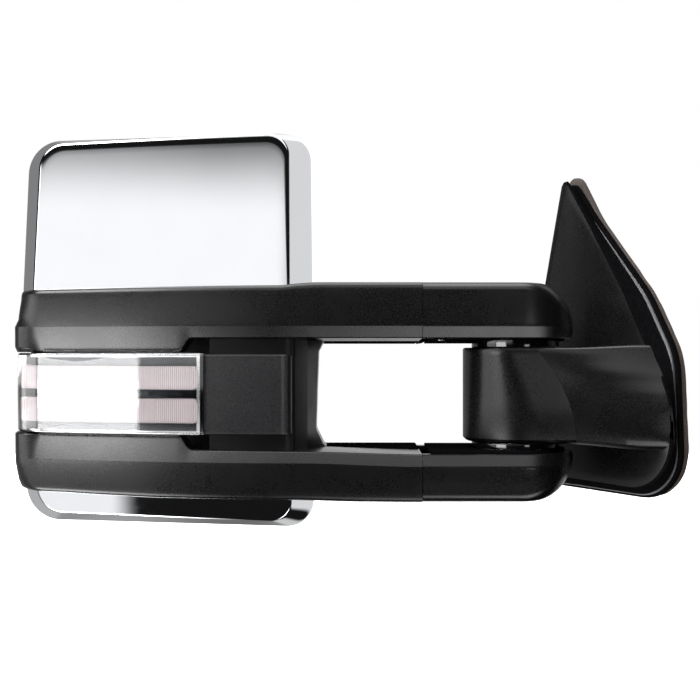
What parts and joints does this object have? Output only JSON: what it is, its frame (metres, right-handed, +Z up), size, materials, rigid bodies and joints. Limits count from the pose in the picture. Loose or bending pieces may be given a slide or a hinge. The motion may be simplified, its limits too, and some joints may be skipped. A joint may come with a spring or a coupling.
{
  "type": "car side mirror",
  "caption": "Towing door mirror: chrome-capped head with a black lamp band on twin telescoping arms, folding about a barrel on a triangular door base.",
  "frame": {"origin": "centre of the three door studs, on the plane of the door face", "axes": "+X inboard to the door, +Y to the rear of the vehicle, +Z up; the door face is turned 32 degrees about Z"},
  "size_m": [0.4927, 0.1554, 0.292],
  "materials": {
    "bearing_nylon": "natural nylon",
    "black_coated_steel": "black e-coat, semi-gloss",
    "black_rubber": "matte",
    "bright_chrome": "plated plastic, mirror bright",
    "cast_alloy": "sand-cast, dull grey",
    "circuit_board": "solder mask",
    "clear_lens": "clear moulded",
    "dark_chrome": "tinted plating",
    "dark_steel": "oil-blackened",
    "gasket_foam": "closed-cell foam, brown grey",
    "gloss_black": "polished",
    "heater_film": "thin film",
    "lamp_silver": "metallised",
    "mirror_silver": "first-surface reflective glass",
    "pink_guide": "ribbed translucent",
    "plain_black": "smooth matte",
    "satin_black": "satin",
    "textured_black": "fine moulded grain",
    "zinc_steel": "zinc plated"
  },
  "bodies": {
    "base": {"barrel_cover": "textured_black", "base_bracket": "cast_alloy", "cover_screws": "zinc_steel", "detent_seat": "dark_steel", "door_gasket": "gasket_foam", "harness_grommet": "black_rubber", "lower_collar": "gloss_black", "lower_pivot_bush": "bearing_nylon", "mounting_studs": "zinc_steel", "pivot_spring": "dark_steel", "sail_cover": "textured_black", "upper_collar": "gloss_black", "upper_pivot_bush": "bearing_nylon"},
    "arm": {"detent_ring": "dark_steel", "end_plate_screws": "zinc_steel", "lower_arm_tube": "black_coated_steel", "lower_end_cover": "textured_black", "lower_end_plate": "textured_black", "lower_knuckle": "cast_alloy", "pivot_nut": "zinc_steel", "pivot_tube": "zinc_steel", "thrust_washer": "dark_steel", "tube_plugs": "plain_black", "upper_arm_tube": "black_coated_steel", "upper_end_cover": "textured_black", "upper_end_plate": "textured_black", "upper_knuckle": "cast_alloy"},
    "head": {"actuator_case": "plain_black", "actuator_cover": "plain_black", "actuator_screws": "zinc_steel", "centre_bezel": "plain_black", "drive_motors": "zinc_steel", "glass_bezel": "satin_black", "guide_bushes": "bearing_nylon", "head_frame": "cast_alloy", "housing_screws": "zinc_steel", "lamp_board": "circuit_board", "lamp_housing": "lamp_silver", "lamp_lens": "clear_lens", "lamp_reflector": "dark_chrome", "lower_arm_rear_shroud": "textured_black", "lower_band": "textured_black", "lower_cap": "bright_chrome", "lower_light_guide": "pink_guide", "rear_housing": "plain_black", "side_panel": "textured_black", "spotter_post": "plain_black", "upper_arm_rear_shroud": "textured_black", "upper_band": "textured_black", "upper_cap": "bright_chrome", "upper_light_guide": "pink_guide"},
    "tilt_plunger": {"tilt_plunger": "bearing_nylon"},
    "pan_plunger": {"pan_plunger": "bearing_nylon"},
    "main_gimbal": {"main_gimbal": "bearing_nylon"},
    "main_glass": {"heater_pad": "heater_film", "main_glass": "mirror_silver", "main_glass_tray": "satin_black"},
    "spotter_gimbal": {"spotter_gimbal": "bearing_nylon"},
    "spotter": {"spotter_glass": "mirror_silver", "spotter_tray": "satin_black"}
  },
  "joints": [
    {"name": "arm_fold", "type": "hinge", "parent": "base", "child": "arm", "pos_m": [-0.07717, -0.03879, 0], "axis": [0, 0, 1], "range_deg": [-58, 50]},
    {"name": "head_telescope", "type": "slide", "parent": "arm", "child": "head", "axis": [-1, 0, 0], "range_m": [0, 0.09]},
    {"name": "main_tilt", "type": "hinge", "parent": "head", "child": "main_gimbal", "pos_m": [-0.33617, 0.01121, 0.0895], "axis": [1, 0, 0], "range_deg": [-8, 8]},
    {"name": "main_pan", "type": "hinge", "parent": "main_gimbal", "child": "main_glass", "pos_m": [-0.33617, 0.01121, 0.0895], "axis": [0, 0, 1], "range_deg": [-8, 8]},
    {"name": "spotter_tilt", "type": "hinge", "parent": "head", "child": "spotter_gimbal", "pos_m": [-0.33617, 0.01121, -0.053], "axis": [1, 0, 0], "range_deg": [-8, 8]},
    {"name": "spotter_pan", "type": "hinge", "parent": "spotter_gimbal", "child": "spotter", "pos_m": [-0.33617, 0.01121, -0.053], "axis": [0, 0, 1], "range_deg": [-8, 8]},
    {"name": "tilt_plunger_slide", "type": "slide", "parent": "head", "child": "tilt_plunger", "axis": [0, 1, 0], "range_m": [-0.0045, 0.0045]},
    {"name": "pan_plunger_slide", "type": "slide", "parent": "head", "child": "pan_plunger", "axis": [0, 1, 0], "range_m": [-0.0045, 0.0045]}
  ],
  "couplings": [
    {"joint": "tilt_plunger_slide", "follows": "main_tilt", "m_per_rad": -0.03},
    {"joint": "pan_plunger_slide", "follows": "main_pan", "m_per_rad": 0.03}
  ]
}
